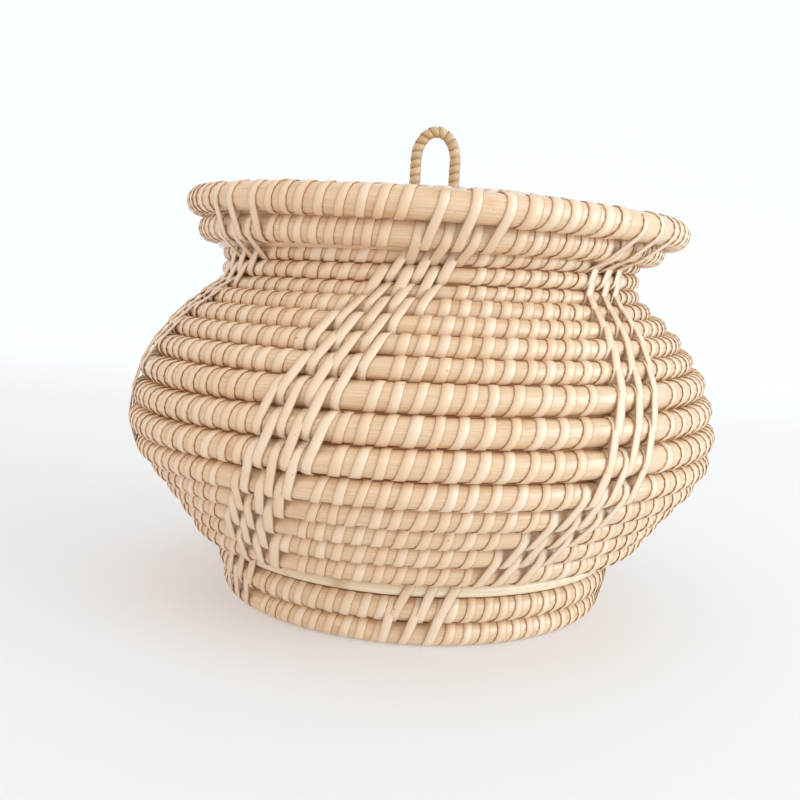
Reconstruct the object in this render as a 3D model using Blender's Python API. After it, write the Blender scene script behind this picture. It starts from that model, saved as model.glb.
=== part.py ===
"""Lidded basket of coiled rattan, with a flared neck, a foot ring and a loop on the lid.

The basket is one long coil. It starts at the middle of the base as a flat spiral, turns up
at the edge of the base and climbs the wall as a true spiral, anticlockwise seen from above. Each
turn is laid on the turn below it: its centre lies one cane and a small gap away, in a
direction, the lean, that sets the shape of the wall. The last turn is pared thin, so that two
closed rings, the flare and the rim, can finish the mouth. The lid is a domed coil inside an
edge ring that nests between those two rings. The rim leans in a little on the left.

Every cane's diameter is measured over the peel that binds it. Lengths are in metres, +Z is
up, the origin is on the floor under the middle of the foot, and -Y is the front.
"""

import math

import bpy
import numpy as np

# Cane diameters, over their binding
FOOT_LOWER_CANE = 0.0092
FOOT_UPPER_CANE = 0.0092
SPACER_CANE = 0.0050
LOWER_CANE = 0.0085
BELLY_CANE = 0.0093
SHOULDER_CANE = 0.0073
NECK_CANE = 0.0053
FLARE_CANE = 0.0098
RIM_CANE = 0.0102
LID_EDGE_CANE = 0.0080
LID_CANE = 0.0075
HEART_CANE = 0.0050
LOOP_CANE = 0.0036

# Gaps
ROW_GAP = 0.0005
END_GAP = 0.0004
LID_SEAT_GAP = 0.0004
LID_SIDE_GAP = 0.0010
TIE_GAP = 0.0003

# Foot and base
FOOT_RADIUS = 0.0694
FOOT_LEAN = math.radians(76)
SPACER_LEAN = math.radians(70)
BASE_OVERHANG = 0.0079
BASE_START_RADIUS = 0.0050

# Wall: turns of each length of cane, and the lean at shares of the whole climb
LOWER_TURNS = 5
BELLY_TURNS = 3
SHOULDER_TURNS = 4
NECK_TURNS = 2.85
WALL_SHARES = (0.0, 0.067, 0.267, 0.4, 0.533, 0.667, 0.8, 0.9, 1.0)
WALL_LEANS = (0, 56, 50, 96, 113, 132, 144, 94, 88)
SPLICE_TURN = 1.0
PARED_TURN = 0.4
PARED_THICKNESS = 0.15

# Mouth
FLARE_LEAN = math.radians(34)
RIM_LEAN = math.radians(52)
RIM_LEAN_SWING = math.radians(14)

# Lid
LID_RISE = 0.0064
LID_DOME_POWER = 7
LID_PARED_THICKNESS = 0.25
SEAT_ROUNDS = 20

# Loop handle
LOOP_SPAN = 0.0150
LOOP_HEIGHT = 0.0267
LOOP_ARCH = 0.0108
LOOP_BEND = 0.0040
LOOP_TAIL = 0.0120
LOOP_STEPS = 7

# Peel: the flat strips that bind and tie
PEEL_WIDTH = 0.0026
PEEL_THICKNESS = 0.0005
LOOP_WRAP_PITCH = 0.0046
LOOP_WRAP_STEPS = 10
TIE_STEPS = 7
TIE_PLACE = 0.6

# Facets
STEPS_PER_TURN = 24
RING_END = 0.75
INNER_STEP = 2
INNER_RADIUS = 0.036
SECTION_FLAT = math.cos(math.pi / 6)

# Materials: colour, roughness
FINISHES = {
    "cane": ((0.78, 0.60, 0.42), 0.45),
    "bare_cane": ((0.84, 0.70, 0.50), 0.35),
    "peel": ((0.87, 0.72, 0.54), 0.40),
    "loop_cane": ((0.55, 0.36, 0.20), 0.50),
}


def clear_objects():
    """Remove whatever the file holds, so that a second run gives the same part."""
    for item in list(bpy.data.objects):
        bpy.data.objects.remove(item, do_unlink=True)


def finish(name, colour, roughness):
    """Give a plain Principled material with the photographed colour."""
    material = bpy.data.materials.new(name)
    material.use_nodes = True
    shader = material.node_tree.nodes["Principled BSDF"]
    shader.inputs["Base Color"].default_value = (*colour, 1.0)
    shader.inputs["Roughness"].default_value = roughness
    shader.inputs["Metallic"].default_value = 0.0
    material.diffuse_color = (*colour, 1.0)
    return material


def link(name, data, parent, kind):
    """Put an object into the scene under its parent, with a material of its own."""
    item = bpy.data.objects.new(name, data)
    bpy.context.collection.objects.link(item)
    item.parent = parent
    colour, roughness = FINISHES[kind]
    data.materials.append(finish(name + "_finish", colour, roughness))
    return item


def group(name, height):
    """Make the empty that a body's pieces hang from, on the basket's axis."""
    empty = bpy.data.objects.new(name, None)
    empty.location = (0.0, 0.0, height)
    bpy.context.collection.objects.link(empty)
    return empty


def add_cane(name, points, diameters, leans, parent, kind="cane"):
    """Make one unbroken cane: a six-sided tube along the points, with closed ends.

    The lean turns the section, so that a corner faces the neighbouring rows.
    """
    curve = bpy.data.curves.new(name, "CURVE")
    curve.dimensions = "3D"
    curve.twist_mode = "Z_UP"
    curve.bevel_depth = 1.0
    curve.bevel_resolution = 1
    curve.use_fill_caps = True
    spline = curve.splines.new("POLY")
    spline.points.add(len(points) - 1)
    for knot, place, diameter, lean in zip(spline.points, points, diameters, leans):
        knot.co = (*place, 1.0)
        knot.radius = diameter / 2
        knot.tilt = -lean
    return link(name, curve, parent, kind)


def add_strip(name, middle, across, outward, parent, kind="peel"):
    """Make a flat strip of peel: a closed bar of rectangular section.

    It follows its middle points. Across its width, outward from its face and the way along
    it make a right-handed set.
    """
    count = len(middle)
    corners = np.array(((-1, -1), (1, -1), (1, 1), (-1, 1))) / 2
    vertices = np.concatenate([middle + across * side * PEEL_WIDTH + outward * face * PEEL_THICKNESS
                               for side, face in corners])
    faces = []
    for corner in range(4):
        low = corner * count
        high = (corner + 1) % 4 * count
        for step in range(count - 1):
            faces.append((low + step, high + step, high + step + 1, low + step + 1))
    starts = [corner * count for corner in range(4)]
    faces.append(tuple(reversed(starts)))
    faces.append(tuple(start + count - 1 for start in starts))
    mesh = bpy.data.meshes.new(name)
    mesh.from_pydata(vertices.tolist(), [], faces)
    mesh.update()
    return link(name, mesh, parent, kind)


def unit(vectors):
    """Scale each row of an array of vectors to length one."""
    return vectors / np.linalg.norm(vectors, axis=1, keepdims=True)


def smooth_step(share):
    """Rise from 0 to 1 with level ends as the share goes from 0 to 1."""
    share = np.clip(share, 0.0, 1.0)
    return share * share * (3 - 2 * share)


def around(turns):
    """Give the directions, anticlockwise from above, at counts of turns from the left side."""
    angle = 2 * math.pi * turns
    return -np.cos(angle), -np.sin(angle)


def next_row(place, below, above, lean):
    """Place a cane's centre (radius, height) on the row below it."""
    step = (below + above) / 2 + ROW_GAP
    return place[0] + step * np.cos(lean), place[1] + step * np.sin(lean)


def halfway(values, index):
    """Average two neighbouring entries, at the middle of a facet."""
    return (values[index] + values[index + 1]) / 2


def cut_length(coil, first, last):
    """Take the stretch of a coil between the middles of two facets, with a gap at each end.

    A coil is (points, diameters, leans). None leaves the coil's own end.
    """
    points, diameters, leans = coil
    start = 0 if first is None else first + 1
    stop = len(points) if last is None else last + 1
    places = list(points[start:stop])
    sizes = list(diameters[start:stop])
    turns = list(leans[start:stop])
    for index, at_start in ((first, True), (last, False)):
        if index is None:
            continue
        along = unit(points[index + 1:index + 2] - points[index:index + 1])[0]
        shift = along * END_GAP / 2
        middle = halfway(points, index)
        where = 0 if at_start else len(places)
        places.insert(where, middle + shift if at_start else middle - shift)
        sizes.insert(where, halfway(diameters, index))
        turns.insert(where, halfway(leans, index))
    return np.array(places), np.array(sizes), np.array(turns)


def thin_out(coil):
    """Keep every second point on the small turns, which need fewer facets."""
    points, diameters, leans = coil
    reach = np.hypot(points[:, 0], points[:, 1])
    order = np.arange(len(points))
    last = len(points) - 1
    kept = (reach > INNER_RADIUS) | (order % INNER_STEP == 0) | (order == last)
    return points[kept], diameters[kept], leans[kept]


def ring_turns():
    """Give the places of a ring's points: one turn and a facet more, from the back."""
    return np.arange(-1, STEPS_PER_TURN + 1) / STEPS_PER_TURN + RING_END


def closed_ring(radius, height, diameter, lean):
    """Bend one cane to a ring whose ends meet at the back, in the middle of a facet.

    Radius, height and lean are single values, or one for each of the ring's points.
    """
    x, y = around(ring_turns())
    points = np.column_stack((radius * x, radius * y, height + 0 * x))
    return cut_length((points, diameter + 0 * x, lean + 0 * x), 0, STEPS_PER_TURN)


def basket_coil(base_radius, base_height):
    """Lay the whole coil, base and wall, and return it with its radii and turn numbers.

    In the base the radius grows evenly with the turns. On the wall, each point lies one cane
    and the row gap from the point one turn before it, in the direction of the lean.
    """
    lengths = ((LOWER_CANE, LOWER_TURNS), (BELLY_CANE, BELLY_TURNS),
               (SHOULDER_CANE, SHOULDER_TURNS), (NECK_CANE, NECK_TURNS))
    count = STEPS_PER_TURN
    pitch = LOWER_CANE + ROW_GAP
    base_steps = int((base_radius - BASE_START_RADIUS) / pitch * count)
    wall_turns = sum(turns for _, turns in lengths)
    turn = np.arange(-base_steps, round(wall_turns * count) + 1) / count
    size = np.full(len(turn), LOWER_CANE)
    splice = 0
    for (cane, turns), (next_cane, _) in zip(lengths, lengths[1:]):
        splice += turns
        size += (next_cane - cane) * smooth_step((turn - splice) / SPLICE_TURN + 0.5)
    paring = np.clip((turn - wall_turns + PARED_TURN) / PARED_TURN, 0.0, 1.0)
    size *= 1 - (1 - PARED_THICKNESS) * paring
    lean = np.radians(np.interp(turn / wall_turns, WALL_SHARES, WALL_LEANS))
    radius = base_radius + turn * pitch
    height = np.full(len(turn), base_height)
    for step in range(base_steps + 1, len(turn)):
        below = step - count
        place = (radius[below], height[below])
        radius[step], height[step] = next_row(place, size[below], size[step], lean[step])
    x, y = around(turn)
    points = np.column_stack((radius * x, radius * y, height))
    return (points, size, lean), radius, turn


def resting_height(radius, diameter, coil, radii):
    """Find how low a level ring can lie on the last turn of a coil without touching it."""
    points, sizes, _ = coil
    last = slice(len(points) - STEPS_PER_TURN - 1, None)
    reach = (sizes[last] + diameter) / 2 + ROW_GAP
    aside = np.clip(np.abs(radius - radii[last]), 0.0, reach)
    lift = np.sqrt(reach ** 2 - aside ** 2)
    return float((points[last, 2] + lift).max())


def least_gap(coil):
    """Measure how near a coil comes to itself, one turn on, over its outer surfaces."""
    points, sizes, _ = coil
    count = STEPS_PER_TURN
    apart = np.linalg.norm(points[count:] - points[:-count], axis=1)
    return float((apart - (sizes[count:] + sizes[:-count]) / 2).min())


def lid_drop(radius, edge_radius):
    """Give how far the lid's dome lies under its crown at a radius."""
    return LID_RISE * (radius / edge_radius) ** LID_DOME_POWER


def lid_slope(radius, edge_radius):
    """Give the dome's slope at a radius, as an angle: negative where it falls outwards."""
    return -np.arctan(lid_drop(radius, edge_radius) * LID_DOME_POWER / radius)


def inside_edge(diameter, edge_radius):
    """Find the radius at which a cane on the dome lies one row gap from the edge ring."""
    apart = (LID_EDGE_CANE + diameter) / 2 + ROW_GAP
    radius = edge_radius - apart
    for _ in range(SEAT_ROUNDS):
        above = LID_RISE - lid_drop(radius, edge_radius)
        radius = edge_radius - np.sqrt(apart ** 2 - above ** 2)
    return radius


def lid_coil(edge_radius):
    """Wind the lid's coil outwards from an oval first turn to a round last one.

    The oval leaves a slot for the heart cane and the two legs of the loop. The last turn is
    pared as the turn inside it grows, so that its outer side stays at the edge ring.
    """
    pitch = LID_CANE + ROW_GAP
    long_start = (LOOP_SPAN + LOOP_CANE + LID_CANE) / 2 + TIE_GAP
    short_start = (HEART_CANE + LID_CANE) / 2 + TIE_GAP
    full_reach = inside_edge(LID_CANE, edge_radius)
    full_turns = (full_reach - long_start) / pitch
    turn = np.arange(round((full_turns + 1) * STEPS_PER_TURN)) / STEPS_PER_TURN
    thickness = LID_CANE - np.maximum(turn - full_turns, 0.0) * pitch
    kept = thickness > LID_CANE * LID_PARED_THICKNESS
    turn = turn[kept]
    thickness = np.minimum(thickness[kept], LID_CANE)
    share = np.minimum(turn / full_turns, 1.0)
    growth = inside_edge(thickness, edge_radius) - full_reach
    x, y = around(turn)
    x = x * (long_start + (full_reach - long_start) * share + growth)
    y = y * (short_start + (full_reach - short_start) * share + growth)
    radius = np.hypot(x, y)
    points = np.column_stack((x, y, LID_RISE - lid_drop(radius, edge_radius)))
    return points, thickness, lid_slope(radius, edge_radius)


def loop_path(crown_height):
    """Give the loop's centre line: a tail, a bend, a leg, the arch, and the same mirrored."""
    half_span = LOOP_SPAN / 2
    top = crown_height + LID_CANE / 2 + LOOP_HEIGHT - LOOP_CANE / 2 - PEEL_THICKNESS
    spring = top - LOOP_ARCH
    below = crown_height - (LID_CANE + LOOP_CANE) / 2 - ROW_GAP
    bend = np.linspace(0, math.pi / 2, LOOP_STEPS)
    bend_x = half_span + LOOP_BEND * (1 - np.sin(bend))
    bend_z = below + LOOP_BEND * (1 - np.cos(bend))
    arch = np.linspace(0, math.pi / 2, 2 * LOOP_STEPS)[:-1]
    arch_x = half_span * np.cos(arch)
    arch_z = spring + LOOP_ARCH * np.sin(arch)
    right_x = np.concatenate(([half_span + LOOP_BEND + LOOP_TAIL], bend_x, arch_x))
    right_z = np.concatenate(([below], bend_z, arch_z))
    x = np.concatenate((right_x, [0.0], -right_x[::-1]))
    z = np.concatenate((right_z, [top], right_z[::-1]))
    return np.column_stack((x, np.zeros(len(x)), z))


def loop_wrap(path, start_height):
    """Wind one strip round the loop, from above one foot to above the other.

    Its middle runs on a helix whose radius is the cane's, half the strip and a small gap.
    """
    length = np.concatenate(([0.0], np.cumsum(np.linalg.norm(np.diff(path, axis=0), axis=1))))
    above = length[path[:, 2] > start_height]
    wound = above[-1] - above[0]
    turns = int(wound / LOOP_WRAP_PITCH)
    share = np.linspace(0.0, 1.0, turns * LOOP_WRAP_STEPS + 1)
    where = above[0] + share * wound
    middle = np.column_stack([np.interp(where, length, path[:, axis]) for axis in range(3)])
    along = unit(np.gradient(middle, axis=0))
    sideways = np.tile((0.0, 1.0, 0.0), (len(middle), 1))
    across = np.cross(sideways, along)
    angle = (2 * math.pi * turns * share)[:, None]
    outward = across * np.cos(angle) + sideways * np.sin(angle)
    section = 1 / math.cos(math.pi / LOOP_WRAP_STEPS)
    radius = (LOOP_CANE / 2 + TIE_GAP) * section + PEEL_THICKNESS / 2
    centre = middle + outward * radius
    return centre, np.cross(outward, unit(np.gradient(centre, axis=0))), outward


def tail_tie(crown_height, side):
    """Bend a short strip under one of the loop's tails, up to the underside of the lid."""
    under = crown_height - LID_CANE / 2 - ROW_GAP
    centre_height = under - LOOP_CANE / 2
    radius = (LOOP_CANE / 2 + TIE_GAP) / math.cos(math.pi / (2 * TIE_STEPS)) + PEEL_THICKNESS / 2
    angle = np.linspace(math.pi, 2 * math.pi, TIE_STEPS)
    x = side * (LOOP_SPAN / 2 + LOOP_BEND + LOOP_TAIL * TIE_PLACE)
    middle = np.column_stack((np.full(TIE_STEPS, x), radius * np.cos(angle),
                              centre_height + radius * np.sin(angle)))
    outward = np.column_stack((np.zeros(TIE_STEPS), np.cos(angle), np.sin(angle)))
    across = np.tile((1.0, 0.0, 0.0), (TIE_STEPS, 1))
    return middle, across, outward


def build_basket():
    """Build the foot, the base, the wall and the mouth.

    Returns the flare's radius and height, and the rim's least radius.
    """
    body = group("basket", 0.0)
    lower = (FOOT_RADIUS, FOOT_LOWER_CANE / 2 * SECTION_FLAT)
    upper = next_row(lower, FOOT_LOWER_CANE, FOOT_UPPER_CANE, FOOT_LEAN)
    spacer = next_row(upper, FOOT_UPPER_CANE, SPACER_CANE, SPACER_LEAN)
    add_cane("foot_lower_ring", *closed_ring(*lower, FOOT_LOWER_CANE, 0.0), body)
    add_cane("foot_upper_ring", *closed_ring(*upper, FOOT_UPPER_CANE, FOOT_LEAN), body)
    add_cane("spacer_ring", *closed_ring(*spacer, SPACER_CANE, SPACER_LEAN), body, "bare_cane")

    base_radius = spacer[0] + BASE_OVERHANG
    base_height = spacer[1] + SPACER_CANE / 2 + ROW_GAP + LOWER_CANE / 2 * SECTION_FLAT
    coil, radii, turn = basket_coil(base_radius, base_height)
    start = int(np.searchsorted(turn, 0.0))
    splices = [start]
    for turns in (LOWER_TURNS, BELLY_TURNS, SHOULDER_TURNS):
        splices.append(splices[-1] + turns * STEPS_PER_TURN)
    names = ("base_coil", "lower_wall_cane", "belly_cane", "shoulder_cane", "neck_cane")
    for name, first, last in zip(names, [None] + splices, splices + [None]):
        add_cane(name, *thin_out(cut_length(coil, first, last)), body)
    print("Least gap of the basket coil to itself, mm:", round(least_gap(coil) * 1000, 3))

    neck_radius = float(radii[-STEPS_PER_TURN:].mean())
    flare_radius = next_row((neck_radius, 0.0), NECK_CANE, FLARE_CANE, FLARE_LEAN)[0]
    flare_height = resting_height(flare_radius, FLARE_CANE, coil, radii)
    flare = (flare_radius, flare_height)
    rim_lean = RIM_LEAN - RIM_LEAN_SWING * around(ring_turns())[0]
    rim = next_row(flare, FLARE_CANE, RIM_CANE, rim_lean)
    add_cane("flare_ring", *closed_ring(*flare, FLARE_CANE, rim_lean), body)
    add_cane("rim_ring", *closed_ring(*rim, RIM_CANE, rim_lean), body)
    return flare, float(rim[0].min())


def build_lid(flare, rim_radius):
    """Build the lid that nests in the mouth: edge ring, coil, heart and loop."""
    edge_radius = rim_radius - RIM_CANE / 2 - LID_SIDE_GAP - LID_EDGE_CANE / 2
    reach = (FLARE_CANE + LID_EDGE_CANE) / 2 + LID_SEAT_GAP
    seat = flare[1] + math.sqrt(reach ** 2 - (flare[0] - edge_radius) ** 2)
    lid = group("lid", seat)
    crown = LID_RISE
    slope = lid_slope(edge_radius - LID_EDGE_CANE, edge_radius)
    add_cane("lid_edge_ring", *closed_ring(edge_radius, 0.0, LID_EDGE_CANE, slope), lid)
    coil = lid_coil(edge_radius)
    add_cane("lid_coil", *thin_out(coil), lid)
    print("Least gap of the lid coil to itself, mm:", round(least_gap(coil) * 1000, 3))

    heart_reach = LOOP_SPAN / 2 - LOOP_CANE / 2 - TIE_GAP
    heart = np.array(((-heart_reach, 0.0, crown), (heart_reach, 0.0, crown)))
    add_cane("heart_cane", heart, np.full(2, HEART_CANE), np.zeros(2), lid)
    path = loop_path(crown)
    add_cane("loop_cane", path, np.full(len(path), LOOP_CANE), np.zeros(len(path)), lid,
             "loop_cane")
    wrap_start = crown + LID_CANE / 2 + PEEL_WIDTH
    add_strip("loop_wrap", *loop_wrap(path, wrap_start), lid)
    add_strip("left_tail_tie", *tail_tie(crown, -1), lid)
    add_strip("right_tail_tie", *tail_tie(crown, 1), lid)


clear_objects()
build_lid(*build_basket())
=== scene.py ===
"""Looks of a lidded basket of coiled rattan: round canes bound with strips of peel.

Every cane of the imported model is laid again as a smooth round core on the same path. A strip
of peel winds round each core as one long helix, and longer stitches, in slanting columns, go
round two rows at a time and hold the rows together. Lengths are in metres, +Z is up and -Y is
the front. A place on the coil is given in turns, anticlockwise from above, from the left side.
"""

import math

import bpy
import numpy as np
from bpy.props import FloatProperty, FloatVectorProperty, PointerProperty
from bpy.types import Operator, Panel, PropertyGroup
from mathutils import Matrix, Vector


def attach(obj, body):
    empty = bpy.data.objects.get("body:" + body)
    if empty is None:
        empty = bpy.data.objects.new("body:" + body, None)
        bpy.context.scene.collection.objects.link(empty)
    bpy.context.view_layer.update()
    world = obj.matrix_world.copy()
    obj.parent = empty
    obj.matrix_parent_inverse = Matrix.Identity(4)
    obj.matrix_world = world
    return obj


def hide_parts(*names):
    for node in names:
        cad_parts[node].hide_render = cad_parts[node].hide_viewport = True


bl_info = {
    "name": "Coiled Rattan Basket",
    "version": (1, 0, 0),
    "blender": (4, 5, 0),
    "location": "View3D > Sidebar > Basket",
    "description": "Lays canes, peel bindings and long stitches over a coiled basket",
    "category": "Add Mesh",
}

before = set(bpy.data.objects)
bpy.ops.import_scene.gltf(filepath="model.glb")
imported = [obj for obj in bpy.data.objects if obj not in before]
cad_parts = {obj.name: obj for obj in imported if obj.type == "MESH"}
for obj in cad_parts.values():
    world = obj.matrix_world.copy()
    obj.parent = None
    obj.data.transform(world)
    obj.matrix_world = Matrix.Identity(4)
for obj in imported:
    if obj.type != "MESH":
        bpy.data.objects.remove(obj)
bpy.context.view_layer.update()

# Gaps between canes
ROW_GAP = 0.0005
END_GAP = 0.0004
LID_SEAT_GAP = 0.0004
LID_SIDE_GAP = 0.0010
TIE_GAP = 0.0003

# Foot, base and wall
FOOT_RADIUS = 0.0694
FOOT_LEAN = math.radians(76)
SPACER_LEAN = math.radians(70)
BASE_OVERHANG = 0.0079
BASE_START_RADIUS = 0.0050
WALL_TURNS = (5, 3, 4, 2.85)
WALL_SHARES = (0.0, 0.067, 0.267, 0.4, 0.533, 0.667, 0.8, 0.9, 1.0)
WALL_LEANS = (0, 56, 50, 96, 113, 132, 144, 94, 88)
SPLICE_TURN = 1.0
PARED_TURN = 0.4
PARED_THICKNESS = 0.15

# Mouth and lid
FLARE_LEAN = math.radians(34)
RIM_LEAN = math.radians(52)
RIM_LEAN_SWING = math.radians(14)
LID_RISE = 0.0064
LID_DOME_POWER = 7
LID_PARED_THICKNESS = 0.25
SEAT_ROUNDS = 20

# Loop handle
LOOP_SPAN = 0.0150
LOOP_HEIGHT = 0.0267
LOOP_ARCH = 0.0108
LOOP_BEND = 0.0040
LOOP_TAIL = 0.0120
LOOP_WRAP_ROOM = 0.0005
LOOP_WOUND_FROM = 0.003
LOOP_STRIP_RISE = 0.0002
LOOP_STRIP_NARROWER = 0.8
TIE_WIDTH = 0.0026
TIE_PLACE = 0.6

# How finely shapes are laid
ROW_STEPS = 24
FINE_STEPS = 144
CORE_SIDES = 12
SECTION_FLAT = math.cos(math.pi / 6)
TONE_STEPS = 24
WRAP_STEPS = 12
BELT_ARC_STEPS = 3
BELT_LINE_STEPS = 2
PACKING_SIDES = 6
PACKING_STEPS = 72

# Wraps: a ring's ends and the start of its binding, in turns; the haste of a wrap under its
# cane; what a ring's joint takes, in strip widths; spread and limit of the chance in width
RING_END = 0.75
BINDING_START = 0.87
LOW_HASTE = 0.6
LOW_PHASE = 0.22
END_MARGIN = 0.2
JOINT_LEFT_FREE = 1.6
JOINT_COVER = 2.2
JOINT_PITCH = 1.02
WIDTH_CHANCE = (0.07, 0.15)

# Wraps stand wider on the right side: its start, rise, end and fall in turns
RIGHT_OF_WALL = (0.22, 0.08, 0.70, 0.10)
RIGHT_OF_MOUTH = (0.25, 0.03, 0.80, 0.03)
LEFT_OPENING = 0.4
WALL_CANES = ("base_coil", "lower_wall_cane", "belly_cane", "shoulder_cane", "neck_cane")
WALL_OPENINGS = (0.0, 0.8, 1.1, 0.55, 0.3)
WALL_BREADTHS = (1.0, 1.0, 1.05, 1.12, 1.15)

# Columns of long stitches: rows counted from the rim down, and turns at those rows
COLUMN_ROWS = (1.5, 2.5, 4.5, 9.5, 12.5, 16.5)
COLUMN_TURNS = (
    (0.2685, 0.2550, 0.2374, 0.2031, 0.1826, 0.150),
    (0.3890, 0.3850, 0.3815, 0.3614, 0.3443, 0.3048),
    (0.1235, 0.1100, 0.0857, 0.0500, 0.0300, 0.000),
    (0.5986, 0.5886, 0.5686, 0.5336, 0.5136, 0.4836),
    (0.7707, 0.7607, 0.7407, 0.7057, 0.6857, 0.6557),
    (0.9429, 0.9329, 0.9129, 0.8779, 0.8579, 0.8279),
)
STRAIGHT_COLUMNS = (1,)
WIDER_STITCHES = {1: 1.3, 2: 1.12}
FOOT_COLUMNS = (0.0975, 0.2553, 0.4724, 0.640, 0.800, 0.930)
TOP_COIL_ROW = 3
LAST_COIL_ROW = 17
COIL_END_ROOM = 0.03

# Stitches: number in a group, spread and limit of their chance, how far they stand off the
# upper row and further off the lower one, in strip thicknesses, their tones, what they cover
STITCHES_IN_COLUMN = 3
ASIDE_CHANCE = (0.06, 0.12)
LEAN_CHANCE = (0.15, 0.3)
STITCH_LIFT = 0.6
STITCH_LIFT_MORE = 0.5
STITCH_TONES = (0.55, 0.45)
HELD_LESS = 0.0010
HELD_LEAST = 0.0005

# Rays of stitches on the flat coils of base and lid, in turns and metres
FLAT_COLUMNS = 8
FLAT_CLOSER = 0.9
TIGHT_RADIUS = 0.020
BASE_RAYS_FROM = 1.5
LID_RAYS_FROM = 0.5625
LID_RAYS_SHORT = 0.25

# Packing: how much thicker than a gap, and half the sizes and the drop of the heart's
PACKING_MORE = 0.0007
HEART_HALF_LENGTH = 0.0135
HEART_HALF_SECTION = (0.0082, 0.0022)
HEART_DROP = 0.0008
HEART_WRAPS_APART = 1.1

# Finishes: scales of the fibres, marks between which a mask rises, strengths and shine
PATCH_SCALE = 90.0
SPECK_SCALE = 520.0
PALE_MARKS = (0.35, 1.0)
PATCH_MARKS = (0.56, 0.86)
STREAK_MARKS = (0.62, 0.30)
SPECK_MARKS = (0.73, 0.78)
# Painted shade: marks of the thin dark line along a strip's sides.
SHADED_BORDER_MARKS = (0.84, 1.0)
SPECK_STRENGTH = 0.6
# Painted shade: how dark the line along a strip's sides is.
SHADED_BORDER_STRENGTH = 0.75
RELIEF_DEPTH = 0.0002
SHINE = 0.5
DULL_SHINE = 0.15
COAT_ROUGHNESS = 0.16

# Stage: lights are a place and a size
FLOOR_REACH = 20.0
SWEEP_START = 1.2
SWEEP_RADIUS = 1.5
SWEEP_TOP = 6.0
FAR_FROM_TO = (0.45, 0.95)
# The floor's glow is painted light: it brightens the floor, thins the shadows on it and lights the
# foot from below.
FLOOR_GLOW = (0.96, 0.95, 0.94)
FLOOR_GLOW_STRENGTH = 0.30
KEY_LIGHT = ((1.28, -0.60, 0.36), 1.3)
FILL_LIGHT = ((-0.9, -0.9, 0.7), 1.2)
FILL_COLOUR = (1.0, 0.82, 0.58)
LIGHT_AIM = Vector((0.0, 0.0, 0.08))
CAMERA_PLACE = (-0.0023, -0.3923, 0.1223)
CAMERA_ANGLES = ((0.87, "Z"), (90 - 7.11, "X"), (3.36, "Z"))
CAMERA_LENS = 45.0


def sized(name, description, default):
    """Make a length property in metres."""
    return FloatProperty(name=name, description=description, default=default, min=0.0,
                         precision=5, unit="LENGTH")


def coloured(name, description, default):
    """Make a colour property."""
    return FloatVectorProperty(name=name, description=description, default=default,
                               subtype="COLOR", size=3, min=0.0, max=1.0)


def valued(name, description, default, high):
    """Make a plain number property."""
    return FloatProperty(name=name, description=description, default=default, min=0.0, max=high)


class BasketCanes(PropertyGroup):
    """Diameters of the canes, measured over their binding."""

    foot_lower: sized("Lower foot ring", "Cane that the basket stands on", 0.0092)
    foot_upper: sized("Upper foot ring", "Second cane of the foot", 0.0092)
    spacer: sized("Spacer", "Slim bare cane between foot and wall", 0.0050)
    lower_wall: sized("Base and lower wall", "Cane of the base and of five rows", 0.0085)
    belly: sized("Belly", "Cane of the three widest rows", 0.0093)
    shoulder: sized("Shoulder", "Cane of the four rows that turn inwards", 0.0073)
    neck: sized("Neck", "Cane of the narrow rows under the flare", 0.0053)
    flare: sized("Flare", "Cane of the ring under the rim", 0.0098)
    rim: sized("Rim", "Cane of the top ring", 0.0102)
    lid_edge: sized("Lid edge", "Cane of the lid's outer ring", 0.0080)
    lid: sized("Lid", "Cane of the lid's coil", 0.0075)
    heart: sized("Heart", "Short cane in the middle of the lid", 0.0050)
    loop: sized("Loop", "Cane of the loop handle", 0.0036)


class BasketPeel(PropertyGroup):
    """Sizes and spacings of the strips that bind and stitch."""

    width: sized("Strip width", "Width of a strip of peel", 0.0033)
    thickness: sized("Strip thickness", "Thickness of a strip of peel", 0.00045)
    sunk: sized("Core allowance", "How much thinner a core is than its cane, each side", 0.0001)
    close_pitch: sized("Close spacing", "Spacing of wraps where they stand closest", 0.0056)
    open_pitch: sized("Open spacing", "Spacing of wraps on the belly's right side", 0.0074)
    rim_pitch: sized("Rim spacing", "Spacing of the wraps on the rim", 0.0063)
    stitch_pitch: sized("Stitch spacing", "Spacing of long stitches in a column", 0.0076)
    stitch_slant: sized("Stitch slant", "How far a long stitch leans each way", 0.0027)
    loop_pitch: sized("Loop spacing", "Spacing of wraps on the loop handle", 0.0029)


class BasketColours(PropertyGroup):
    """Colours of canes, peel and stage."""

    cane: coloured("Cane", "Bound cane where it shows between wraps", (0.79, 0.555, 0.35))
    deep: coloured("Deep cane", "Darker fibres and patches", (0.55, 0.31, 0.13))
    bare: coloured("Bare cane", "Spacer of smooth bare cane", (0.92, 0.79, 0.58))
    peel: coloured("Peel", "Outer face of the strips", (0.82, 0.58, 0.375))
    pale: coloured("Pale peel", "Palest strips", (0.87, 0.68, 0.50))
    # Cut edge: partly the cut edges' own darker brown, partly painted contact shade where a strip
    # steps down onto its cane.
    edge: coloured("Cut edge", "Cut edges of the strips", (0.36, 0.17, 0.06))
    # Packing: painted shade, a very dark fill laid in the gaps between rows where they lie in
    # shade.
    packing: coloured("Packing", "Split fibre deep between the rows", (0.22, 0.09, 0.04))
    speck: coloured("Speck", "Small dark specks", (0.22, 0.15, 0.10))
    loop: coloured("Loop cane", "Darker strip round the loop handle", (0.61, 0.43, 0.25))
    floor: coloured("Floor", "Plain pale floor", (0.57, 0.56, 0.56))
    far: coloured("Far floor", "Paler floor and upright behind the basket", (0.66, 0.71, 0.76))
    air: coloured("Air", "Pale light from all round", (1.0, 0.985, 0.965))
    key: coloured("Key light", "Slightly cool light from the right", (0.66, 0.86, 1.0))


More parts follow.
